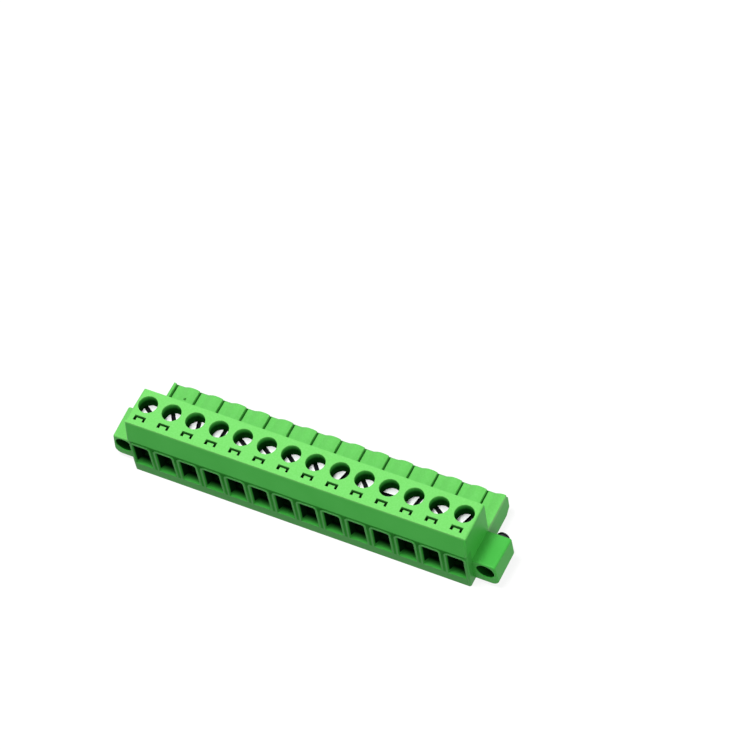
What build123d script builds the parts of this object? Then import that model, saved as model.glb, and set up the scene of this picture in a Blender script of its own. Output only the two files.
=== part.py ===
"""Fourteen-pole pluggable screw terminal block with a screw flange at each end.

All sizes are in millimetres. The origin is the middle of the underside.
X runs along the row of poles, Y points from the wire side to the mating side and Z points up.
"""

from build123d import *
import os

os.makedirs("parts", exist_ok=True)

# The whole block
pole_count = 14
pitch = 5.08
height = 15.0
depth = 18.0
body_depth = 8.95
band_height = 5.17
band_lean = 0.85
corner_radius = 0.4
mating_height = 5.1
end_step = 0.32

# Clearances
face_gap = 0.05
running_gap = 0.06
thread_gap = 0.02
slide_gap = 0.15
free_gap = 0.3

# Frame with the wire funnels
frame_depth = 1.87
face_lean = 0.28
lip_height = 2.35
rim_width = 0.4
window_height = 6.3
window_rib = 1.44
window_foot_rib = 1.3
window_corner = 0.5
throat_rise = 0.48
throat_length = 0.35
slot_width = 1.96
slot_depth = 0.95
tongue_left_gap = 0.25
tongue_thin_gap = 0.18
tongue_drop = 0.25
tongue_foot = 1.2

# Wells and clamp chambers
well_inset = 3.07
well_radius = 1.93
well_depth = 4.05
shoulder_thickness = 0.4
chamber_wall = 1.08
chamber_floor = 2.6
rear_wall_thickness = 0.64

# Clamp screws
turn_lift = 0.5
full_turns = 4
head_thickness = 1.1
head_edge = 0.12
drive_width = 0.55
drive_depth = 0.65

# Clamp cages
cage_wall = 0.55
cage_roof = 1.0
cage_floor = 0.6
cage_rest = 0.2

# Contacts
bar_thickness = 0.8
bar_lead = 0.8
sheet_thickness = 0.5
pin_height = 2.7
fork_height = 2.1
fork_gap = 0.8
fork_root_gap = 1.4
fork_flare_length = 1.6
leaf_thickness = 0.4

# Mating part
mouth_wall = 0.8
mouth_size = 1.8
mouth_flare = 0.3
fork_setback = 0.8
nose_step = 0.54
nose_height = 0.8
keel_length = 1.4
keel_height = 1.2
slit_width = 0.35
slit_depth = 0.75
slit_shift = -1.58
tooth_height = 0.75

# Flanges and their screws
flange_setback = 1.61
flange_depth = 7.1
flange_bottom = 0.9
flange_height = 5.8
flange_foot_radius = 1.5
flange_edge = 0.5
flange_corner = 0.3
bore_height = 4.4
bore_radius = 1.85
bore_floor_thickness = 2.3
neck_radius = 0.95
flange_thread_radius = 1.25
flange_head_length = 1.95
flange_tip_length = 1.4
tip_edge = 0.2
flange_drive_angle = 30

# How the clamp screws were left, in degrees from the row
drive_angles = [-33, -55, -74, 90, -31, -32, -37, -48, 76, -45, 2, 80, -32, 71]

# One tooth of the mating part, as shares of its length and its height
tooth_start = (0, 0)
tooth_run = (0.3, 0.17)
tooth_rise = (0.56, 0.9)
tooth_crest = (0.78, 1)
tooth_end = (1, 0.65)

# Places along the depth
wire_face = -depth / 2
mating_face = depth / 2
rear_wall = wire_face + body_depth
frame_back = wire_face + frame_depth
well_y = rear_wall - well_inset
chamber_back = rear_wall - rear_wall_thickness
web_front = chamber_back - sheet_thickness
cage_back = web_front - 2 * face_gap
cage_front = 2 * well_y - cage_back
tunnel_end = mating_face - mouth_wall
fork_end = tunnel_end - fork_setback
flange_front = wire_face + flange_setback
flange_back = flange_front + flange_depth
bore_floor = flange_back - bore_floor_thickness

# Places along the height
seam = height - band_height
window_top = lip_height + window_height
shoulder_top = height - well_depth
chamber_top = shoulder_top - shoulder_thickness
head_bottom = shoulder_top + face_gap
head_top = head_bottom + head_thickness
cage_bottom = chamber_floor + cage_rest
cage_top = chamber_top - turn_lift * full_turns - face_gap
cage_inner_bottom = cage_bottom + cage_floor
cage_inner_top = cage_top - cage_roof
bar_top = cage_inner_top - 2 * face_gap
bar_bottom = bar_top - bar_thickness
fork_bottom = pin_height - fork_height / 2

# Places and widths along the row
body_width = pole_count * pitch
mating_width = body_width - 2 * end_step
flange_width = pitch
flange_x = (body_width + flange_width) / 2
poles = [(index - (pole_count - 1) / 2) * pitch for index in range(pole_count)]
chamber_width = pitch - chamber_wall
cage_width = chamber_width - 2 * slide_gap
cage_inner_width = cage_width - 2 * cage_wall
thread_radius = cage_inner_width / 2 - running_gap
bar_width = cage_inner_width - 2 * slide_gap
tunnel_width = fork_root_gap + 2 * leaf_thickness + 2 * free_gap
tunnel_height = fork_height + 2 * free_gap


def body_blank():
    """Clamping half: flat top, leaning marking band and an open front for the frame."""
    outline = [
        (frame_back, 0),
        (frame_back, seam),
        (wire_face, seam),
        (wire_face + band_lean, height),
        (rear_wall, height),
        (rear_wall, 0),
    ]
    with BuildPart() as blank:
        with BuildSketch(Plane.YZ.offset(-body_width / 2)):
            Polygon(*outline, align=None)
        extrude(amount=body_width)
        ends = blank.faces().sort_by(Axis.Y)[0].edges().sort_by(Axis.X)
        fillet([ends[0], ends[-1]], radius=corner_radius)
    return blank.part


def tooth_outline():
    """One tooth, from the right wall of a slit to the left wall of the next."""
    length = pitch - slit_width
    shape = [tooth_start, tooth_run, tooth_rise, tooth_crest, tooth_end]
    upper = [(x * length, z * tooth_height) for x, z in shape]
    with BuildSketch() as tooth:
        with BuildLine():
            Spline(*upper)
            Polyline(upper[-1], (length, -tooth_height), (0, -tooth_height), upper[0])
        make_face()
    return tooth.sketch


def mating_blank():
    """Mating half: toothed upper side, a nose above and a keel below at its rear."""
    tooth = tooth_outline()
    starts = [x + slit_shift + slit_width / 2 for x in [poles[0] - pitch] + poles]
    full_height = mating_height + tooth_height
    side = [
        (rear_wall, 0),
        (mating_face - keel_length, 0),
        (mating_face, keel_height),
        (mating_face, mating_height - nose_height),
        (mating_face - nose_step, mating_height),
        (mating_face - nose_step, 2 * full_height),
        (rear_wall, 2 * full_height),
    ]
    with BuildPart() as blank:
        with BuildSketch(Plane.XZ.offset(-mating_face)):
            with Locations((0, mating_height / 2)):
                Rectangle(body_width, mating_height)
            with Locations(*[(x, mating_height) for x in starts]):
                add(tooth)
            with Locations((0, full_height / 2)):
                Rectangle(mating_width, full_height, mode=Mode.INTERSECT)
        extrude(amount=mating_face - rear_wall)
        with BuildSketch(Plane.YZ.offset(-body_width / 2)):
            Polygon(*side, align=None)
        extrude(amount=body_width, mode=Mode.INTERSECT)
    return blank.part


def flange_block():
    """Right-hand flange, whose outer edges are rounded, most of all the lower one."""
    with BuildPart() as block:
        with BuildSketch(Plane.XZ.offset(-flange_back)) as side:
            with Locations((flange_x, flange_bottom + flange_height / 2)):
                Rectangle(flange_width, flange_height)
            fillet(side.vertices().group_by(Axis.X)[-1].sort_by(Axis.Y)[0], radius=flange_foot_radius)
            fillet(side.vertices().group_by(Axis.Y)[-1].sort_by(Axis.X)[-1], radius=flange_edge)
        extrude(amount=flange_depth)
        fillet(block.edges().filter_by(Axis.Z).group_by(Axis.X)[-1], radius=flange_corner)
    return block.part


def well_tool():
    """Round well over each clamp screw, and the smaller hole for its shank."""
    centres = [(x, well_y) for x in poles]
    with BuildPart() as tool:
        with BuildSketch(Plane.XY.offset(shoulder_top)):
            with Locations(*centres):
                Circle(well_radius)
        extrude(amount=well_depth)
        with BuildSketch(Plane.XY.offset(chamber_top)):
            with Locations(*centres):
                Circle(thread_radius + free_gap)
        extrude(amount=shoulder_thickness)
    return tool.part


def chamber_tool():
    """Clamp chambers, open to the front, and the slots for the frame's tongues."""
    tall = chamber_top - chamber_floor
    with BuildPart() as tool:
        with BuildSketch(Plane.XZ.offset(-chamber_back)):
            with Locations(*[(x, chamber_floor + tall / 2) for x in poles]):
                Rectangle(chamber_width, tall)
        extrude(amount=chamber_back - frame_back)
        with BuildSketch(Plane.XY.offset(seam)):
            with Locations(*[(x, frame_back + slot_depth / 2) for x in poles]):
                Rectangle(slot_width, slot_depth)
        extrude(amount=band_height)
    return tool.part


def tunnel_tool():
    """Contact tunnels through the mating half, with a flared mouth for each pin."""
    places = [(x, pin_height) for x in poles]
    mouth_edge = mouth_size + 2 * mouth_flare
    with BuildPart() as tool:
        with BuildSketch(Plane.XZ.offset(-tunnel_end)):
            with Locations(*places):
                Rectangle(tunnel_width, tunnel_height)
        extrude(amount=tunnel_end - web_front)
        with BuildSketch(Plane.XZ.offset(-mating_face)):
            with Locations(*places):
                Rectangle(mouth_size, mouth_size)
        extrude(amount=mouth_wall)
        with BuildSketch(Plane.XZ.offset(-mating_face)):
            with Locations(*places):
                Rectangle(mouth_edge, mouth_edge)
        extrude(amount=mouth_flare, taper=45)
    return tool.part


def slit_tool():
    """Narrow slits between the teeth of the mating part."""
    middle = (rear_wall + mating_face) / 2
    with BuildPart() as tool:
        with BuildSketch(Plane.XY.offset(mating_height - slit_depth)):
            with Locations(*[(x + slit_shift, middle) for x in poles]):
                Rectangle(slit_width, mating_face - rear_wall)
        extrude(amount=slit_depth + tooth_height)
    return tool.part


def bore_tool():
    """Stepped bores through both flanges."""
    places = [(-flange_x, bore_height), (flange_x, bore_height)]
    with BuildPart() as tool:
        with BuildSketch(Plane.XZ.offset(-bore_floor)):
            with Locations(*places):
                Circle(bore_radius)
        extrude(amount=bore_floor - flange_front)
        with BuildSketch(Plane.XZ.offset(-flange_back)):
            with Locations(*places):
                Circle(flange_thread_radius + running_gap)
        extrude(amount=bore_floor_thickness)
    return tool.part


def window_outline(grow):
    """Wire window with rounded upper corners, grown by the rim's width for the rim."""
    top = window_top + grow
    half_top = (pitch - window_rib) / 2 + grow
    half_foot = (pitch - window_foot_rib) / 2 + grow
    corners = [(-half_foot, lip_height), (half_foot, lip_height), (half_top, top), (-half_top, top)]
    with BuildSketch() as window:
        Polygon(*corners, align=None)
        fillet(window.vertices().group_by(Axis.Y)[-1], radius=window_corner + grow)
    return window.sketch


def throat_outline():
    """Inner end of a wire funnel, as wide as the cage behind it."""
    floor = lip_height + throat_rise
    tall = bar_bottom - 2 * face_gap - floor
    with BuildSketch() as throat:
        with Locations((0, floor + tall / 2)):
            Rectangle(cage_inner_width - 2 * face_gap, tall)
        fillet(throat.vertices().group_by(Axis.Y)[-1], radius=window_corner)
    return throat.sketch


def funnel_tool():
    """Wire funnels, from the windows at the face to the throats at the back."""
    window = window_outline(0)
    throat = throat_outline()
    with BuildPart() as tool:
        for x in poles:
            with BuildSketch(Plane.XZ.offset(-wire_face)):
                with Locations((x, 0)):
                    add(window)
            with BuildSketch(Plane.XZ.offset(throat_length - frame_back)):
                with Locations((x, 0)):
                    add(throat)
            loft()
        with BuildSketch(Plane.XZ.offset(-frame_back)):
            with Locations(*[(x, 0) for x in poles]):
                add(throat)
        extrude(amount=throat_length)
    return tool.part


def rims():
    """Raised rim over the top and down both sides of every wire window."""
    rim = window_outline(rim_width)
    with BuildPart() as row:
        with BuildSketch(Plane.XZ.offset(-wire_face - face_lean)):
            with Locations(*[(x, 0) for x in poles]):
                add(rim)
        extrude(amount=face_lean)
    return row.part


def tongues():
    """One latch tongue per pole, up behind the band into its slot in the top face."""
    width = slot_width - tongue_left_gap - tongue_thin_gap
    shift = (tongue_left_gap - tongue_thin_gap) / 2
    thickness = slot_depth - tongue_thin_gap
    with BuildPart() as row:
        with BuildSketch(Plane.XY.offset(seam - tongue_foot)):
            with Locations(*[(x + shift, frame_back + thickness / 2) for x in poles]):
                Rectangle(width, thickness)
        extrude(amount=tongue_foot + band_height - tongue_drop)
    return row.part


# Housing: the large moulding with the wells, the chambers, the mating part and the flanges
right_flange = flange_block()
with BuildPart() as housing:
    add(body_blank())
    add(mating_blank())
    add(right_flange)
    add(mirror(right_flange, about=Plane.YZ, mode=Mode.PRIVATE))
    add(well_tool(), mode=Mode.SUBTRACT)
    add(chamber_tool(), mode=Mode.SUBTRACT)
    add(tunnel_tool(), mode=Mode.SUBTRACT)
    add(slit_tool(), mode=Mode.SUBTRACT)
    add(bore_tool(), mode=Mode.SUBTRACT)
housing.part.label = "housing"
export_step(housing.part, "parts/housing.step")


# Wire entry frame: the second moulding, whose face leans back between the window rims
frame_side = [
    (wire_face, 0),
    (wire_face, lip_height),
    (wire_face + face_lean, seam),
    (frame_back, seam),
    (frame_back, 0),
]
with BuildPart() as wire_entry_frame:
    with BuildSketch(Plane.YZ.offset(-body_width / 2)):
        Polygon(*frame_side, align=None)
    extrude(amount=body_width)
    ends = wire_entry_frame.faces().sort_by(Axis.Y)[:2].edges().sort_by(Axis.X)
    fillet(ends[:2] + ends[-2:], radius=corner_radius)
    add(rims())
    add(tongues())
    add(funnel_tool(), mode=Mode.SUBTRACT)
wire_entry_frame.part.label = "wire_entry_frame"
export_step(wire_entry_frame.part, "parts/wire_entry_frame.step")


# Clamp screws: slotted heads in the wells, shanks down to the current bars
for number, (x, angle) in enumerate(zip(poles, drive_angles), start=1):
    with BuildPart() as clamp_screw:
        with BuildSketch(Plane.XY.offset(head_bottom)):
            with Locations((x, well_y)):
                Circle(well_radius - running_gap)
        extrude(amount=head_thickness)
        chamfer(clamp_screw.edges().group_by(Axis.Z)[-1], length=head_edge)
        with BuildSketch(Plane.XY.offset(bar_top + face_gap)):
            with Locations((x, well_y)):
                Circle(thread_radius)
        extrude(amount=head_bottom - bar_top - face_gap)
        with BuildSketch(Plane.XY.offset(head_top - drive_depth)):
            with Locations((x, well_y)):
                Rectangle(3 * well_radius, drive_width, rotation=angle)
        extrude(amount=drive_depth, mode=Mode.SUBTRACT)
    clamp_screw.part.label = f"clamp_screw_{number:02d}"
    export_step(clamp_screw.part, f"parts/clamp_screw_{number:02d}.step")


# Clamp cages: folded boxes that the screws lift towards the current bars
for number, x in enumerate(poles, start=1):
    with BuildPart() as clamp_cage:
        with BuildSketch(Plane.XZ.offset(-cage_back)):
            with Locations((x, (cage_bottom + cage_top) / 2)):
                Rectangle(cage_width, cage_top - cage_bottom)
            with Locations((x, (cage_inner_bottom + cage_inner_top) / 2)):
                Rectangle(cage_inner_width, cage_inner_top - cage_inner_bottom, mode=Mode.SUBTRACT)
        extrude(amount=cage_back - cage_front)
        with BuildSketch(Plane.XY.offset(cage_inner_top)):
            with Locations((x, well_y)):
                Circle(thread_radius + thread_gap)
        extrude(amount=cage_roof, mode=Mode.SUBTRACT)
    clamp_cage.part.label = f"clamp_cage_{number:02d}"
    export_step(clamp_cage.part, f"parts/clamp_cage_{number:02d}.step")


# Contacts: a current bar through the cage, an upright web and a two-leaf fork for the pin
bar_side = [
    (cage_front - bar_lead, bar_bottom),
    (cage_front - bar_lead, bar_top),
    (chamber_back, bar_top),
    (chamber_back, fork_bottom),
    (web_front, fork_bottom),
    (web_front, bar_bottom),
]
fork_leaf = [
    (fork_root_gap / 2, web_front),
    (fork_gap / 2, fork_end - fork_flare_length),
    (fork_root_gap / 2, fork_end),
    (fork_root_gap / 2 + leaf_thickness, fork_end),
    (fork_gap / 2 + leaf_thickness, fork_end - fork_flare_length),
    (fork_root_gap / 2 + leaf_thickness, web_front),
]
for number, x in enumerate(poles, start=1):
    with BuildPart() as contact:
        with BuildSketch(Plane.YZ.offset(x - bar_width / 2)):
            Polygon(*bar_side, align=None)
        extrude(amount=bar_width)
        with BuildSketch(Plane(origin=(x, 0, fork_bottom))):
            Polygon(*fork_leaf, align=None)
            mirror(about=Plane.YZ)
        extrude(amount=fork_height)
    contact.part.label = f"contact_{number:02d}"
    export_step(contact.part, f"parts/contact_{number:02d}.step")


# Flange screws: slotted, captive in the flanges, with their tips out behind
head_front = bore_floor - face_gap - flange_head_length
for side, x in (("left", -flange_x), ("right", flange_x)):
    with BuildPart() as flange_screw:
        with BuildSketch(Plane.XZ.offset(-head_front)):
            with Locations((x, bore_height)):
                Circle(bore_radius - free_gap)
        extrude(amount=-flange_head_length)
        with BuildSketch(Plane.XZ.offset(-flange_back - face_gap)):
            with Locations((x, bore_height)):
                Circle(neck_radius)
        extrude(amount=flange_back + 2 * face_gap - bore_floor)
        with BuildSketch(Plane.XZ.offset(-flange_back - flange_tip_length)):
            with Locations((x, bore_height)):
                Circle(flange_thread_radius)
        extrude(amount=flange_tip_length - face_gap)
        chamfer(flange_screw.edges().group_by(Axis.Y)[-1], length=tip_edge)
        with BuildSketch(Plane.XZ.offset(-head_front)):
            with Locations((x, bore_height)):
                Rectangle(3 * bore_radius, drive_width, rotation=flange_drive_angle)
        extrude(amount=-drive_depth, mode=Mode.SUBTRACT)
    flange_screw.part.label = f"flange_screw_{side}"
    export_step(flange_screw.part, f"parts/flange_screw_{side}.step")
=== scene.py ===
# %% [markdown]
# # A pluggable terminal block with fourteen screw clamps
# The CAD model already has every shape in its right size and place. This lesson gives it the looks
# of the real block: soft moulded edges, turned and plated screws, folded sheet metal, and light.
# All lengths are in metres, in the frame of the CAD model.

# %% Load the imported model
import math

import bpy
from mathutils import Matrix, Vector


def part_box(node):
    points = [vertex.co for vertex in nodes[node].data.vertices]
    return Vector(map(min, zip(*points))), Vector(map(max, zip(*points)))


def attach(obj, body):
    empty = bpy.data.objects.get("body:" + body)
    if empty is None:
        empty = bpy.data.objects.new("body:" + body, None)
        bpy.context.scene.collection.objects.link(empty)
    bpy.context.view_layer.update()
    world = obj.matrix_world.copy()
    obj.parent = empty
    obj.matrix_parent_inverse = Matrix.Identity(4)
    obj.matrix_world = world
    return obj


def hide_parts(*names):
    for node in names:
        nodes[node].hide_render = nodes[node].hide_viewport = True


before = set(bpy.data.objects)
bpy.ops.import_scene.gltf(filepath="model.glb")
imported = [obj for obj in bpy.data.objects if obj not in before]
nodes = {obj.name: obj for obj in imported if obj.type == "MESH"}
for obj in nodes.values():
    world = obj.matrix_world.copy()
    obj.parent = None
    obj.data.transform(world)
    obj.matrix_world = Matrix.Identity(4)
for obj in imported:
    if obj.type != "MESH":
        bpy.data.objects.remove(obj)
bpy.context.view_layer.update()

# %% [markdown]
# The block repeats one pole fourteen times, so most places along the row come from one list.

# %% Places that the pieces share
mm = 0.001
pole_count = 14
pitch = 5.08 * mm
poles = [(index - (pole_count - 1) / 2) * pitch for index in range(pole_count)]
numbers = [f"{number:02d}" for number in range(1, pole_count + 1)]
housing_low, housing_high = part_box("housing")
screw_low, screw_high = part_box("clamp_screw_01")
screw_y = (screw_low.y + screw_high.y) / 2
top_z = housing_high.z
flange_x = 38.1 * mm
print("screw row at y", round(screw_y / mm, 2), "mm, heads up to z", round(screw_high.z / mm, 2), "mm")

# %% [markdown]
# ## Working on one mesh at a time
# An operator acts on everything that is selected, and loading leaves the CAD nodes selected. So each
# step starts by selecting one object only. In edit mode, faces and edges are chosen by a rule on their
# place, as a maker would point at them.


# %% Helpers for selecting
def select_only(piece):
    """Leaves one object selected and active."""
    bpy.ops.object.select_all(action="DESELECT")
    piece.select_set(True)
    bpy.context.view_layer.objects.active = piece


def select_nothing_in(piece, kinds):
    """Clears the selection of a mesh and says which kinds edit mode works on: points, edges, faces."""
    select_only(piece)
    bpy.context.tool_settings.mesh_select_mode = kinds
    for group in (piece.data.vertices, piece.data.edges, piece.data.polygons):
        group.foreach_set("select", [False] * len(group))


def pick_points(piece, rule):
    """Selects the points that the rule holds for, ready for edit mode."""
    select_nothing_in(piece, (True, False, False))
    found = 0
    for point in piece.data.vertices:
        if rule(point.co):
            point.select = True
            found += 1
    return found


def pick_edges(piece, rule):
    """Selects the edges whose two ends the rule holds for, ready for edit mode."""
    select_nothing_in(piece, (False, True, False))
    mesh = piece.data
    found = 0
    for edge in mesh.edges:
        start, end = (mesh.vertices[index].co for index in edge.vertices)
        if rule(start, end):
            edge.select = True
            for index in edge.vertices:
                mesh.vertices[index].select = True
            found += 1
    return found


# %% [markdown]
# ## A merged copy of a CAD node
# A CAD node arrives as loose triangles. To round its edges, its copy is merged first: doubles go,
# and flat areas become single faces again. Then the edges can be picked and bevelled, as the tool
# maker rounds them in the mould. A flat face with a hole in it bevels badly, so the copy is first cut
# through each hole, and the cuts are kept as seams. The copy then stands for the CAD node, which
# stays as it is.


# %% Merge a copy
def merged_copy(node_name, piece_name, cuts=()):
    """A copy of a CAD node with shared corners and whole flat faces, split at each x in cuts."""
    piece = bpy.data.objects.new(piece_name, nodes[node_name].data.copy())
    bpy.context.scene.collection.objects.link(piece)
    piece.data.materials.clear()
    select_only(piece)
    bpy.ops.object.mode_set(mode="EDIT")
    bpy.ops.mesh.select_all(action="SELECT")
    bpy.ops.mesh.remove_doubles(threshold=0.001 * mm)
    for cut in cuts:
        bpy.ops.mesh.select_all(action="SELECT")
        bpy.ops.mesh.bisect(plane_co=(cut, 0, 0), plane_no=(1, 0, 0))
        bpy.ops.mesh.mark_seam()
    bpy.ops.mesh.select_all(action="SELECT")
    bpy.ops.mesh.dissolve_limited(angle_limit=math.radians(0.5), delimit={"SEAM"})
    bpy.ops.object.mode_set(mode="OBJECT")
    return piece


# %% [markdown]
# ## The two green mouldings
# The real block is injection moulded in two parts: the large housing with the screw wells, and the
# frame with the wire funnels. Both start here as merged copies. They are cut through at and between
# the poles, so that no flat face is left with a row of holes in it. The next steps give them the small
# forms that a mould has and a plain solid leaves out.

# %% Copy both mouldings
pole_cuts = [index * pitch / 2 for index in range(1 - pole_count, pole_count)]
housing = merged_copy("housing", "housing_moulding", pole_cuts)
funnels = merged_copy("wire_entry_frame", "funnel_moulding", pole_cuts)
print("faces:", len(housing.data.polygons), "and", len(funnels.data.polygons))

# %% [markdown]
# A flange has to leave the mould, so its outer side leans in towards the top. Only the corners along
# its upper outer edge move, and the flat side between them follows.


# %% Helper for moving corners
def shift_points(piece, offset, rule):
    """Moves the points that the rule holds for, and returns how many there are."""
    found = pick_points(piece, rule)
    bpy.ops.object.mode_set(mode="EDIT")
    bpy.ops.transform.translate(value=offset)
    bpy.ops.object.mode_set(mode="OBJECT")
    return found


# %% Lean the outer sides of the flanges
flange_top = 6.7 * mm
flange_middle_y = -3.84 * mm
corner_zone = 0.7 * mm
flange_side = housing_high.x
for side in (-1, 1):
    for end, lean in ((-1, 0.42 * mm), (1, 0.12 * mm)):
        moved = shift_points(housing, (-side * lean, 0, 0), lambda point:
                             side * point.x > flange_side - corner_zone
                             and point.z > flange_top - corner_zone
                             and end * (point.y - flange_middle_y) > 0)
        print("flange corners moved:", moved)

# %% [markdown]
# The latch tongue of each pole comes up through a slot in the top face. On the real block its end is
# flush with the face, and the slot shows as three dark strokes round it. The strokes are wider than
# the play that the CAD model gives, so the slot grows on three sides and the tongue shrinks. Two
# lengths say how near a corner has to be to count: `touch` for corners on one plane, and `near` for
# corners of a form that is placed by its nominal size.

# %% Widen the slots
touch = 0.01 * mm
near = 0.02 * mm
slot_front, slot_back = -7.13 * mm, -6.18 * mm
slot_side = 0.98 * mm
slot_bottom = 9.8 * mm
slot_play = 0.2 * mm
for side in (-1, 1):
    moved = shift_points(housing, (side * slot_play, 0, 0), lambda point:
                         slot_front - touch < point.y < slot_back + touch
                         and any(abs(point.x - x - side * slot_side) < near for x in poles)
                         and point.z > slot_bottom)
    print("slot corners moved:", moved)
moved = shift_points(housing, (0, slot_play, 0), lambda point:
                     abs(point.y - slot_back) < near and point.z > slot_bottom
                     and any(abs(point.x - x) < slot_side + slot_play + near for x in poles))
print("rear slot corners moved:", moved)

# %% Bring the tongues up and make them narrower
tongue_foot = 9.9 * mm
tongue_middle_y = -6.6 * mm
tongue_reach = 1 * mm
tongue_rise = 0.21 * mm
tongue_play = 0.12 * mm
moved = shift_points(funnels, (0, 0, tongue_rise), lambda point: point.z > top_z - 0.3 * mm)
for side in (-1, 1):
    moved += shift_points(funnels, (-side * tongue_play, 0, 0), lambda point:
                          point.z > tongue_foot
                          and any(0 < side * (point.x - x) < tongue_reach for x in poles))
moved += shift_points(funnels, (0, -tongue_play, 0),
                      lambda point: point.z > tongue_foot and point.y > tongue_middle_y)
print("tongue corners moved:", moved)

# %% [markdown]
# The two short edges of the top face have a generous radius, which makes the ends look soft. The top
# face is cut just inside each radius first. Without that cut the bevel leaves dark wedges in the face,
# which is large and has a row of holes.


# %% Helper for rounding edges
def bevel_picked(offset, segments):
    """Rounds the picked edges of the active piece."""
    bpy.ops.object.mode_set(mode="EDIT")
    bpy.ops.mesh.bevel(offset=offset, segments=segments, affect="EDGES")
    bpy.ops.object.mode_set(mode="OBJECT")


# %% Round the ends of the top face
end_radius = 0.5 * mm
body_end = 35.56 * mm
end_cut = 35.02 * mm
for side in (-1, 1):
    pick_points(housing, lambda point: point.z > top_z - touch)
    bpy.ops.object.mode_set(mode="EDIT")
    bpy.ops.mesh.bisect(plane_co=(side * end_cut, 0, 0), plane_no=(1, 0, 0))
    bpy.ops.object.mode_set(mode="OBJECT")
found = pick_edges(housing, lambda a, b: abs(abs(a.x) - body_end) < near and abs(a.x - b.x) < touch
                   and min(a.z, b.z) > top_z - touch)
bevel_picked(end_radius, 4)
print("end edges rounded:", found)

# %% [markdown]
# Pole 1 is marked by a small sunk triangle on the mating part. It is cut with a three sided prism.


# %% Helper for modifiers
def apply_modifier(piece, kind, **settings):
    """Adds a modifier with its settings and applies it at once."""
    select_only(piece)
    modifier = piece.modifiers.new(kind.title(), kind)
    for name, value in settings.items():
        setattr(modifier, name, value)
    bpy.ops.object.modifier_apply(modifier=modifier.name)


# %% Cut the mark of pole 1
mark_place = (-31.45 * mm, 5.62 * mm, 5.75 * mm)
mark_radius, mark_depth = 0.46 * mm, 1.3 * mm
mark_turn = math.radians(100)
bpy.ops.object.select_all(action="DESELECT")
bpy.ops.mesh.primitive_cylinder_add(vertices=3, radius=mark_radius, depth=mark_depth,
                                    location=mark_place, rotation=(0, 0, mark_turn))
cutter = bpy.context.object
apply_modifier(housing, "BOOLEAN", operation="DIFFERENCE", solver="EXACT", object=cutter)
bpy.data.objects.remove(cutter)
print("faces with the mark:", len(housing.data.polygons))

# %% [markdown]
# No mould has a perfectly sharp edge, and a broken edge is what catches the light. So every edge that
# turns by more than `sharp_angle` is broken by a small bevel. Shading is then smooth across turns of
# less than `soft_angle`, and the weighted normals keep the flat faces flat.

# %% Helpers for broken edges
sharp_angle = math.radians(35)
soft_angle = math.radians(40)


def smooth_by_angle(piece):
    """Shades soft edges round and leaves sharp ones crisp."""
    select_only(piece)
    bpy.ops.object.shade_smooth_by_angle(angle=soft_angle)


def break_edges(piece, width, **settings):
    """Breaks every sharp edge, and keeps the shading of the flat faces flat."""
    apply_modifier(piece, "BEVEL", width=width, segments=2, limit_method="ANGLE",
                   angle_limit=sharp_angle, use_clamp_overlap=True, **settings)
    smooth_by_angle(piece)
    apply_modifier(piece, "WEIGHTED_NORMAL", mode="FACE_AREA", keep_sharp=True, weight=100)


# %% Break the remaining edges
edge_radius = 0.07 * mm
for moulding in (housing, funnels):
    break_edges(moulding, edge_radius, miter_outer="MITER_ARC")
    print(moulding.name, "faces:", len(moulding.data.polygons))

# %% [markdown]
# ## Colours and nodes
# Colours are written as the hex values a maker would pick on screen, and one function turns them
# into the linear light that the shader works with. One more function adds a node with its settings
# and its links, so that a material reads as a short list.


# %% Colour and node helpers
def linear(hex_code):
    """The linear colour of an sRGB hex value."""
    channels = [int(hex_code[place:place + 2], 16) / 255 for place in (1, 3, 5)]
    light = [c / 12.92 if c <= 0.04045 else ((c + 0.055) / 1.055) ** 2.4 for c in channels]
    return (*light, 1)


def new_material(name):
    """An empty node material."""
    material = bpy.data.materials.new(name)
    material.use_nodes = True
    material.node_tree.nodes.clear()
    return material


def add_node(material, kind, inputs=None, **settings):
    """Adds a node. Each input is a number, a hex colour, or a socket of another node to link to."""
    tree = material.node_tree
    node = tree.nodes.new(kind)
    for name, value in settings.items():
        setattr(node, name, value)
    for name, value in (inputs or {}).items():
        if isinstance(value, bpy.types.NodeSocket):
            tree.links.new(value, node.inputs[name])
        elif isinstance(value, str):
            node.inputs[name].default_value = linear(value)
        else:
            node.inputs[name].default_value = value
    return node


# %% [markdown]
# ## Green polyamide
# Both mouldings are polyamide 66, a tough plastic with a low sheen. Its colour is even, with a very
# fine speckle, as a spark eroded mould leaves it. The top faces get a paler colour of their own: a
# painted sheen, the light from above painted into the colour. The insides of the wells, funnels,
# slots and bores get painted shade: a dark colour, nearly black, and a finish with no gloss. Each
# such place is found by its distance past a few walls.


# %% Share of a place
def share_past(material, walls):
    """How far inside a place a point is, 0 to 1: each wall is a coordinate, its start and its end."""
    share = None
    for coordinate, start, full in walls:
        past = add_node(material, "ShaderNodeMapRange",
                        {"Value": coordinate, "From Min": start, "From Max": full})
        if share is None:
            share = past.outputs["Result"]
        else:
            share = add_node(material, "ShaderNodeMath", {0: share, 1: past.outputs["Result"]},
                             operation="MULTIPLY").outputs[0]
    return share


# %% Polyamide
# The real grain is finer than one pixel of the picture, so it is drawn as coarse as it needs to show.
grain_size = 0.35 * mm
flow_size = 6 * mm
grain_height = 0.02 * mm


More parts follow.
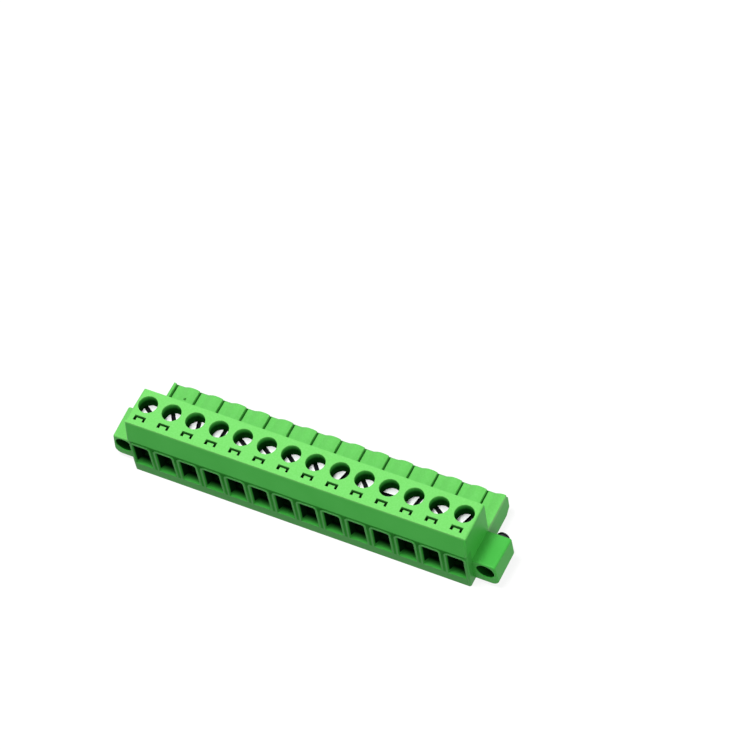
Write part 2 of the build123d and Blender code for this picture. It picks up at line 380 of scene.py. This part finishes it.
def polyamide(name, colours, painted_sheen_places, painted_shade_places, roughness, gloss):
    """Moulded polyamide: its body colours, its painted sheen and painted shade colours, and where each
    is painted.
    """
    body_hex, body_pale_hex, painted_sheen_hex, painted_sheen_grain_hex, painted_shade_hex = colours
    material = new_material(name)
    place = add_node(material, "ShaderNodeTexCoord").outputs["Object"]
    axes = add_node(material, "ShaderNodeSeparateXYZ", {"Vector": place}).outputs
    grain = add_node(material, "ShaderNodeTexNoise",
                     {"Vector": place, "Scale": 1 / grain_size, "Detail": 2.0, "Roughness": 0.6})
    flow = add_node(material, "ShaderNodeTexNoise",
                    {"Vector": place, "Scale": 1 / flow_size, "Detail": 1.0, "Roughness": 0.5})
    speckle = add_node(material, "ShaderNodeMapRange",
                       {"Value": grain.outputs["Fac"], "From Min": 0.4, "From Max": 0.7})
    drift = add_node(material, "ShaderNodeMapRange",
                     {"Value": flow.outputs["Fac"], "From Min": 0.3, "From Max": 0.7})
    body = add_node(material, "ShaderNodeMix",
                    {"Factor": drift.outputs["Result"], "A": body_hex, "B": body_pale_hex},
                    data_type="RGBA")
    # painted sheen: the paler colour of the tops, with its grain
    top = add_node(material, "ShaderNodeMix",
                   {"Factor": speckle.outputs["Result"], "A": painted_sheen_hex, "B": painted_sheen_grain_hex},
                   data_type="RGBA")
    # painted sheen and light: how much paler each place is painted
    pale = None
    for amount, walls in painted_sheen_places(material, axes):
        part = add_node(material, "ShaderNodeMath", {0: share_past(material, walls), 1: amount},
                        operation="MULTIPLY").outputs[0]
        if pale is None:
            pale = part
        else:
            pale = add_node(material, "ShaderNodeMath", {0: pale, 1: part},
                            operation="MAXIMUM").outputs[0]
    colour = add_node(material, "ShaderNodeMix",
                      {"Factor": pale, "A": body.outputs["Result"], "B": top.outputs["Result"]},
                      data_type="RGBA")
    # painted shade: each recess is painted dark, darker the further inside
    for walls in painted_shade_places(material, axes):
        colour = add_node(material, "ShaderNodeMix",
                          {"Factor": share_past(material, walls),
                           "A": colour.outputs["Result"], "B": painted_shade_hex}, data_type="RGBA")
    relief = add_node(material, "ShaderNodeBump",
                      {"Height": grain.outputs["Fac"], "Strength": 0.15, "Distance": grain_height})
    shader = add_node(material, "ShaderNodeBsdfPrincipled",
                      {"Base Color": colour.outputs["Result"], "Roughness": roughness, "IOR": 1.53,
                       "Specular IOR Level": gloss, "Normal": relief.outputs["Normal"]})
    add_node(material, "ShaderNodeOutputMaterial", {"Surface": shader.outputs["BSDF"]})
    return material


# %% Painted sheen on the two mouldings
def housing_painted_sheen_places(material, axes):
    """Painted sheen and light on the top face, mating top and left flange: how strong, past which
    walls.
    """
    return [(1.0, [(axes["Z"], top_z - 0.5 * mm, top_z - 0.05 * mm)]),
            (0.75, [(axes["Y"], -0.1 * mm, 0), (axes["Z"], 4.7 * mm, 5.05 * mm)]),
            (0.85, [(axes["X"], -35.5 * mm, -35.7 * mm), (axes["Z"], 6.2 * mm, 6.6 * mm)])]


def funnel_painted_sheen_places(material, axes):
    """Painted sheen on the ends of the latch tongues, flush with the top face."""
    return [(1.0, [(axes["Z"], top_z - 0.2 * mm, top_z - 0.1 * mm)])]


# %% Painted shade in the recesses of the two mouldings
bore_z = 4.4 * mm
bore_edge = 1.9 * mm
bore_start = -7.3 * mm
core_side = 35.3 * mm
core_front, core_back = -7.16 * mm, -0.08 * mm
core_bottom = 0.1 * mm
funnel_side = 35.2 * mm
funnel_front = -8.9 * mm
funnel_bottom, funnel_top = 2.3 * mm, 9 * mm
blend = 0.02 * mm


def housing_painted_shade_places(material, axes):
    """Painted shade in the wells and chambers, the slots, and the bores of the flanges."""
    out = add_node(material, "ShaderNodeMath", {0: axes["X"]}, operation="ABSOLUTE").outputs[0]
    inside = [(out, core_side, core_side - 0.1 * mm), (axes["Y"], core_front, core_front + blend),
              (axes["Y"], core_back, core_back - blend),
              (axes["Z"], core_bottom, core_bottom + 0.1 * mm)]
    wells = inside + [(axes["Z"], 14.95 * mm, 13.5 * mm)]
    slots = inside + [(axes["Z"], 14.97 * mm, 14.9 * mm), (axes["Y"], -6.1 * mm, -6.12 * mm)]
    across = add_node(material, "ShaderNodeCombineXYZ", {"X": out, "Z": axes["Z"]})
    reach = add_node(material, "ShaderNodeVectorMath",
                     {0: across.outputs[0], 1: (flange_x, 0, bore_z)}, operation="DISTANCE")
    bores = [(reach.outputs["Value"], bore_edge, bore_edge - 0.03 * mm),
             (axes["Y"], bore_start, bore_start + 0.2 * mm)]
    return [wells, slots, bores]


def funnel_painted_shade_places(material, axes):
    """Painted shade in the wire funnels, and on the sides of the tongues in their slots."""
    out = add_node(material, "ShaderNodeMath", {0: axes["X"]}, operation="ABSOLUTE").outputs[0]
    inside = [(out, funnel_side, funnel_side - 0.1 * mm), (axes["Z"], 2.25 * mm, funnel_bottom),
              (axes["Z"], funnel_top, 8.9 * mm)]
    floors = inside + [(axes["Y"], -8.7 * mm, -7.5 * mm)]
    walls = inside + [(axes["Z"], 2.7 * mm, 3.0 * mm), (axes["Y"], -8.82 * mm, -8.5 * mm)]
    tongues = [(axes["Z"], 9.8 * mm, 9.9 * mm), (axes["Z"], 14.95 * mm, 14.9 * mm)]
    return [floors, walls, tongues]


# %% The finishes of the two mouldings
# body green, its random lighter tone, painted sheen of the tops, its grain, painted shade of recesses
housing_shades = ["#389E38", "#3DA23D", "#60B454", "#67B95D", "#0A3C0E"]
# painted shade: the frame's body greens are darker copies of the housing's, for its dimmer front
frame_shades = ["#328C33", "#379138", "#60B454", "#67B95D", "#021A06"]
# the second finish is the painted shade of the recesses: rough, with no gloss
finishes = [("", 0.45, 0.15), ("_painted_shade", 0.85, 0.0)]  # ending of the name, roughness, gloss
for moulding, name, shades, painted_sheen_places, painted_shade_places in (
        (housing, "polyamide_green", housing_shades, housing_painted_sheen_places, housing_painted_shade_places),
        (funnels, "polyamide_green_frame", frame_shades, funnel_painted_sheen_places, funnel_painted_shade_places)):
    for ending, roughness, gloss in finishes:
        moulding.data.materials.append(
            polyamide(name + ending, shades, painted_sheen_places, painted_shade_places, roughness, gloss))
    print(moulding.name, "finishes:", [finish.name for finish in moulding.data.materials])

# %% [markdown]
# The faces inside the recesses get the second finish of their moulding, the one with no gloss: the
# painted shade.


# %% Pick the faces that get the painted shade
def in_housing_painted_shade(place):
    """Wells, slots and chambers, and the flange bores: faces that get the painted shade."""
    in_block = (abs(place.x) < core_side and core_front < place.y < core_back
                and core_bottom < place.z < top_z - 0.06 * mm)
    in_bore = (math.hypot(abs(place.x) - flange_x, place.z - bore_z) < bore_edge
               and place.y > bore_start)
    return in_block or in_bore


def in_funnel(place):
    """Wire funnels: faces that get the painted shade."""
    return (abs(place.x) < funnel_side - 0.1 * mm and funnel_bottom < place.z < funnel_top
            and place.y > funnel_front)


for moulding, inside in ((housing, in_housing_painted_shade), (funnels, in_funnel)):
    recessed = 0
    for face in moulding.data.polygons:
        if inside(face.center):
            face.material_index = 1
            recessed += 1
    print(moulding.name, "faces in recesses:", recessed)

# %% [markdown]
# ## Plated screws, steel cages and tinned contacts
# The clamp screws and their cages are zinc plated steel: a pale, slightly blue metal with a soft
# shine. The contacts are tinned copper alloy, a little warmer and smoother. The flange screws are a
# dark steel. A metal keeps the default IOR, and its look comes from base colour and roughness.
# The screw heads are nearly white in the picture, though dark walls stand round them. A full metal
# would mirror those walls, so the heads are only partly metallic: that is matched to the picture.


# %% Metals
# The real grain of a plating is much finer, so it is drawn as coarse as it needs to show.
plating_grain = 0.15 * mm
plating_height = 0.005 * mm
shine_spread = 0.06


def plated_metal(name, light_hex, dark_hex, roughness, metallic=1.0):
    """Plated or dark metal, or the painted shadow of a slot, with a fine unevenness in colour and
    shine.
    """
    material = new_material(name)
    place = add_node(material, "ShaderNodeTexCoord").outputs["Object"]
    grain = add_node(material, "ShaderNodeTexNoise",
                     {"Vector": place, "Scale": 1 / plating_grain, "Detail": 3.0, "Roughness": 0.6})
    tint = add_node(material, "ShaderNodeMix",
                    {"Factor": grain.outputs["Fac"], "A": dark_hex, "B": light_hex},
                    data_type="RGBA")
    shine = add_node(material, "ShaderNodeMapRange",
                     {"Value": grain.outputs["Fac"], "To Min": roughness - shine_spread,
                      "To Max": roughness + shine_spread})
    relief = add_node(material, "ShaderNodeBump",
                      {"Height": grain.outputs["Fac"], "Strength": 0.1, "Distance": plating_height})
    shader = add_node(material, "ShaderNodeBsdfPrincipled",
                      {"Base Color": tint.outputs["Result"], "Metallic": metallic,
                       "Roughness": shine.outputs["Result"], "Normal": relief.outputs["Normal"]})
    add_node(material, "ShaderNodeOutputMaterial", {"Surface": shader.outputs["BSDF"]})
    return material


screw_zinc = plated_metal("zinc_plated_steel", "#FFFFFF", "#F6F7F9", roughness=0.5, metallic=0.4)
# painted shadow: the slots of the clamp screws get a nearly black metal of their own
slot_shadow = plated_metal("zinc_plated_steel_painted_slot_shadow", "#2A2C30", "#0C0D0F", roughness=0.7)
cage_zinc = plated_metal("zinc_plated_sheet_steel", "#C9CCD0", "#A5A9AE", roughness=0.4)
contact_tin = plated_metal("tinned_copper_alloy", "#E4E0D6", "#C4BEB0", roughness=0.35)
flange_steel = plated_metal("dark_steel", "#4A4C4F", "#2B2D30", roughness=0.42)
print("metals:", [metal.name for metal in (screw_zinc, slot_shadow, cage_zinc, contact_tin,
                                           flange_steel)])

# %% [markdown]
# ## A slotted screw
# Every screw is modelled once, standing on its axis: a cylinder becomes the head, the head's rim is
# rounded, and a thin block cuts the slot. The shank is a real thread. Its profile is one tooth, and
# the Screw modifier carries it round and up by the pitch of the thread.


# %% Head of a screw
def screw_head(name, radius, bottom, top, rim, slot_width, slot_depth):
    """A slotted cylinder head along Z."""
    bpy.ops.object.select_all(action="DESELECT")
    bpy.ops.mesh.primitive_cylinder_add(vertices=64, radius=radius, depth=top - bottom,
                                        location=(0, 0, (top + bottom) / 2))
    head = bpy.context.object
    head.name = name
    bpy.ops.object.transform_apply(location=True)
    pick_edges(head, lambda a, b: min(a.z, b.z) > top - touch)
    bevel_picked(rim, 3)
    bpy.ops.object.select_all(action="DESELECT")
    bpy.ops.mesh.primitive_cube_add(size=1, location=(0, 0, top),
                                    scale=(3 * radius, slot_width, 2 * slot_depth))
    blade = bpy.context.object
    apply_modifier(head, "BOOLEAN", operation="DIFFERENCE", solver="EXACT", object=blade)
    bpy.data.objects.remove(blade)
    return head


# %% Threaded shank
shank_break = 0.1 * mm
thread_steps = 24


def join_into(piece, others):
    """Joins meshes into one piece."""
    bpy.ops.object.select_all(action="DESELECT")
    for other in [piece, *others]:
        other.select_set(True)
    bpy.context.view_layer.objects.active = piece
    bpy.ops.object.join()
    return piece


def thread(name, root, crest, thread_pitch, bottom, top):
    """A closed helical thread round a core, from bottom to top along Z."""
    turns = int((top - bottom) / thread_pitch) - 1
    sunk = root * 0.96
    bpy.ops.object.select_all(action="DESELECT")
    bpy.ops.mesh.primitive_circle_add(vertices=3, radius=thread_pitch / 2, fill_type="NOTHING")
    tooth = bpy.context.object
    tooth.name = name
    corners = [(crest, 0, thread_pitch / 2), (sunk, 0, thread_pitch * 0.98),
               (sunk, 0, thread_pitch * 0.02)]
    for point, corner in zip(tooth.data.vertices, corners):
        point.co = Vector(corner) + Vector((0, 0, bottom))
    apply_modifier(tooth, "SCREW", axis="Z", screw_offset=thread_pitch, iterations=turns,
                   steps=thread_steps, render_steps=thread_steps, use_smooth_shade=False,
                   use_normal_calculate=True)
    select_only(tooth)
    bpy.ops.object.mode_set(mode="EDIT")
    bpy.ops.mesh.select_all(action="SELECT")
    bpy.ops.mesh.fill_holes(sides=4)
    bpy.ops.mesh.normals_make_consistent(inside=False)
    bpy.ops.object.mode_set(mode="OBJECT")
    bpy.ops.object.select_all(action="DESELECT")
    bpy.ops.mesh.primitive_cylinder_add(vertices=32, radius=root, depth=top - bottom,
                                        location=(0, 0, (top + bottom) / 2))
    core = bpy.context.object
    bpy.ops.object.transform_apply(location=True)
    pick_edges(core, lambda a, b: max(a.z, b.z) < bottom + touch or min(a.z, b.z) > top - touch)
    bevel_picked(shank_break, 2)
    return join_into(tooth, [core])


# %% [markdown]
# The slot of a clamp screw is nearly black, so its faces get a painted shadow: a dark material of
# their own. They are the ones that lie below the top of the head and inside its rim. The angles to
# which the screws are turned were estimated from the picture.

# %% One clamp screw
drive_angles = [-33, -55, -74, 90, -31, -32, -37, -48, 76, -45, 2, 80, -32, 71]
screw_radius = (screw_high.x - screw_low.x) / 2
head_bottom = 11.03 * mm
head_overlap = 0.02 * mm
clamp_master = screw_head("clamp_screw_master", screw_radius, head_bottom, screw_high.z,
                          rim=0.14 * mm, slot_width=0.85 * mm, slot_depth=0.68 * mm)
clamp_master.data.materials.append(screw_zinc)
clamp_master.data.materials.append(slot_shadow)
slot_shadow_faces = 0
for face in clamp_master.data.polygons:
    inside_rim = math.hypot(face.center.x, face.center.y) < screw_radius - 0.08 * mm
    if inside_rim and head_bottom + 0.05 * mm < face.center.z < screw_high.z - 0.05 * mm:
        face.material_index = 1
        slot_shadow_faces += 1
print("faces of the slot:", slot_shadow_faces)
clamp_thread = thread("clamp_thread_master", root=1.0 * mm, crest=1.2 * mm, thread_pitch=0.5 * mm,
                      bottom=screw_low.z, top=head_bottom + head_overlap)
clamp_thread.data.materials.append(screw_zinc)
clamp_master = join_into(clamp_master, [clamp_thread])
smooth_by_angle(clamp_master)
print("faces of one screw:", len(clamp_master.data.polygons))

# %% Copy it to every pole
metal_pieces = []
for number, x, angle in zip(numbers, poles, drive_angles):
    screw = clamp_master.copy()
    screw.data = clamp_master.data.copy()
    screw.name = f"clamp_screw_{number}_turned"
    bpy.context.scene.collection.objects.link(screw)
    screw.location = (x, screw_y, 0)
    screw.rotation_euler = (0, 0, math.radians(angle))
    select_only(screw)
    bpy.ops.object.transform_apply(location=True, rotation=True)
    metal_pieces.append((screw, "clamp_screw", number))
bpy.data.objects.remove(clamp_master)
print("clamp screws:", len(metal_pieces))

# %% [markdown]
# A flange screw lies on its side. It is modelled standing, like the others, with a thin neck below the
# head that keeps it captive in the flange, and then laid down with its slot to the front.

# %% Flange screws
flange_low, flange_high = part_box("flange_screw_right")
flange_head_end = -2.64 * mm
flange_neck_end = -0.24 * mm
neck_overlap = 0.1 * mm
neck_length = flange_neck_end - flange_head_end + 2 * neck_overlap
for side, name in ((-1, "left"), (1, "right")):
    head = screw_head(f"flange_screw_{name}_turned", (flange_high.x - flange_low.x) / 2,
                      -flange_head_end, -flange_low.y,
                      rim=0.15 * mm, slot_width=0.55 * mm, slot_depth=0.65 * mm)
    tip = thread("flange_tip", root=1.02 * mm, crest=1.245 * mm, thread_pitch=0.45 * mm,
                 bottom=-flange_high.y, top=-flange_neck_end)
    bpy.ops.object.select_all(action="DESELECT")
    bpy.ops.mesh.primitive_cylinder_add(vertices=48, radius=0.95 * mm, depth=neck_length,
                                        location=(0, 0, -(flange_neck_end + flange_head_end) / 2))
    neck = bpy.context.object
    bpy.ops.object.transform_apply(location=True)
    screw = join_into(head, [tip, neck])
    smooth_by_angle(screw)
    screw.rotation_euler = (math.radians(90), 0, 0)
    screw.location = (side * flange_x, 0, (flange_low.z + flange_high.z) / 2)
    select_only(screw)
    bpy.ops.object.transform_apply(location=True, rotation=True)
    screw.data.materials.append(flange_steel)
    metal_pieces.append((screw, "flange_screw", name))
    print(screw.name, "faces:", len(screw.data.polygons))

# %% [markdown]
# ## Cages and contacts
# Both are stamped and folded from sheet. Each is a merged copy of its own CAD node, with the small
# edge break that tumbling leaves.

# %% Break the edges of cages and contacts
for kind, metal, edge_break in (("clamp_cage", cage_zinc, 0.06 * mm),
                                ("contact", contact_tin, 0.02 * mm)):
    for number, x in zip(numbers, poles):
        piece = merged_copy(f"{kind}_{number}", f"{kind}_{number}_folded", [x])
        break_edges(piece, edge_break)
        piece.data.materials.append(metal)
        metal_pieces.append((piece, kind, number))
print("metal pieces:", len(metal_pieces))

# %% [markdown]
# ## What moves with what
# The mouldings and the contacts are the fixed block. Each clamp screw and each cage is a body of its
# own, and so is each flange screw. Every piece stands for one CAD node, which is hidden.

# %% Ride and replace
for moulding, node, slot in ((housing, "housing", "housing_green"),
                             (funnels, "wire_entry_frame", "frame_green")):
    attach(moulding, "block")
    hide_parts(node)
for piece, kind, name in metal_pieces:
    body = "block" if kind == "contact" else f"{kind}_{name}_body"
    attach(piece, body)
    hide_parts(f"{kind}_{name}")
print("pieces that stand for a CAD node:", 2 + len(metal_pieces))

# %% [markdown]
# ## Floor, light and camera
# The block stands on a white sweep. The floor shows white to the camera and in reflections, and
# still carries the block's soft shadow. The world does the same: it is white where it is seen, and
# weaker where it lights the block.


# %% Rays that should see white
def seeing_rays(material):
    """1 for a camera, glossy or transmission ray, and 0 for the rays that light a surface."""
    seen = add_node(material, "ShaderNodeLightPath").outputs
    direct = add_node(material, "ShaderNodeMath", {0: seen["Is Camera Ray"], 1: seen["Is Glossy Ray"]},
                      operation="MAXIMUM")
    return add_node(material, "ShaderNodeMath",
                    {0: direct.outputs[0], 1: seen["Is Transmission Ray"]},
                    operation="MAXIMUM").outputs[0]


# %% White sweep
floor_drop = 0.02 * mm
glow_share = 0.85
floor_shade_hex, floor_white_hex = "#6E6E6E", "#F4F4F4"


def white_sweep():
    """A floor material that is white to the camera and keeps the shadow."""
    material = new_material("white_sweep")
    seeing = seeing_rays(material)
    share = add_node(material, "ShaderNodeMath", {0: seeing, 1: glow_share}, operation="MULTIPLY")
    tone = add_node(material, "ShaderNodeMix",
                    {"Factor": seeing, "A": floor_shade_hex, "B": floor_white_hex},
                    data_type="RGBA")
    paint = add_node(material, "ShaderNodeBsdfDiffuse", {"Color": tone.outputs["Result"]})
    glow = add_node(material, "ShaderNodeEmission", {"Color": (1, 1, 1, 1), "Strength": 1.0})
    mixed = add_node(material, "ShaderNodeMixShader",
                     {0: share.outputs[0], 1: paint.outputs[0], 2: glow.outputs[0]})
    add_node(material, "ShaderNodeOutputMaterial", {"Surface": mixed.outputs[0]})
    return material


bpy.ops.object.select_all(action="DESELECT")
bpy.ops.mesh.primitive_plane_add(size=4, location=(0, 0, housing_low.z - floor_drop))
floor = bpy.context.object
floor.name = "floor"
floor.data.materials.append(white_sweep())
print("floor at z", round(floor.location.z / mm, 2), "mm")

# %% World
world_light = 0.42
world = bpy.data.worlds.new("studio")
bpy.context.scene.world = world
world.use_nodes = True
world.node_tree.nodes.clear()
level = add_node(world, "ShaderNodeMapRange",
                 {"Value": seeing_rays(world), "To Min": world_light, "To Max": 1.0})
sky = add_node(world, "ShaderNodeBackground",
               {"Color": (1, 1, 1, 1), "Strength": level.outputs["Result"]})
add_node(world, "ShaderNodeOutputWorld", {"Surface": sky.outputs[0]})
print("world nodes:", len(world.node_tree.nodes))

# %% [markdown]
# Five softboxes light the block. A small strong one hangs almost straight overhead and reaches down
# the wells to the screw heads, and a larger, weaker one hangs to the left of it. A wide one on the
# right lights the end of the block, and two weak ones fill the left side and the front. All of them
# look at the middle of the block.


# %% Lamps
block_middle = Vector((0, 0, 0.008))


def softbox(name, place, size, power):
    """A square lamp that looks at the middle of the block."""
    lamp = bpy.data.lights.new(name, "AREA")
    lamp.shape = "SQUARE"
    lamp.size = size
    lamp.energy = power
    holder = bpy.data.objects.new(name, lamp)
    bpy.context.scene.collection.objects.link(holder)
    holder.location = place
    holder.rotation_euler = (block_middle - Vector(place)).to_track_quat("-Z", "Y").to_euler()


softbox("overhead_softbox", (-0.07, -0.05, 0.50), size=0.12, power=2.15)
softbox("key_softbox", (-0.20, -0.02, 0.46), size=0.2, power=0.45)
softbox("left_softbox", (-0.46, 0.08, 0.3), size=0.3, power=0.3)
softbox("right_softbox", (0.45, -0.17, 0.27), size=0.3, power=1.4)
softbox("front_softbox", (0.05, -0.52, 0.22), size=0.3, power=0.2)
print("softboxes:", len(bpy.data.lights))

# %% [markdown]
# The camera was fitted to the photograph. Its place and its three axes come from that fit.

# %% Camera
camera_data = bpy.data.cameras.new("camera")
camera_data.sensor_width = 36
camera_data.lens = 151.256
camera = bpy.data.objects.new("camera", camera_data)
bpy.context.scene.collection.objects.link(camera)
right = Vector((0.8933876, 0.4341356, -0.1156935))
up = Vector((-0.2965069, 0.7631742, 0.5741505))
back = Vector((0.3375534, -0.4786350, 0.8105345))
turn = Matrix((right, up, back)).transposed()
camera_place = (0.2040219, -0.2645727, 0.4946504)
camera.matrix_world = Matrix.Translation(camera_place) @ turn.to_4x4()
bpy.context.scene.camera = camera
bpy.context.scene.view_settings.view_transform = "Standard"
print("camera lens:", camera_data.lens, "mm")

# %% Bring the scene up to date
bpy.context.view_layer.update()
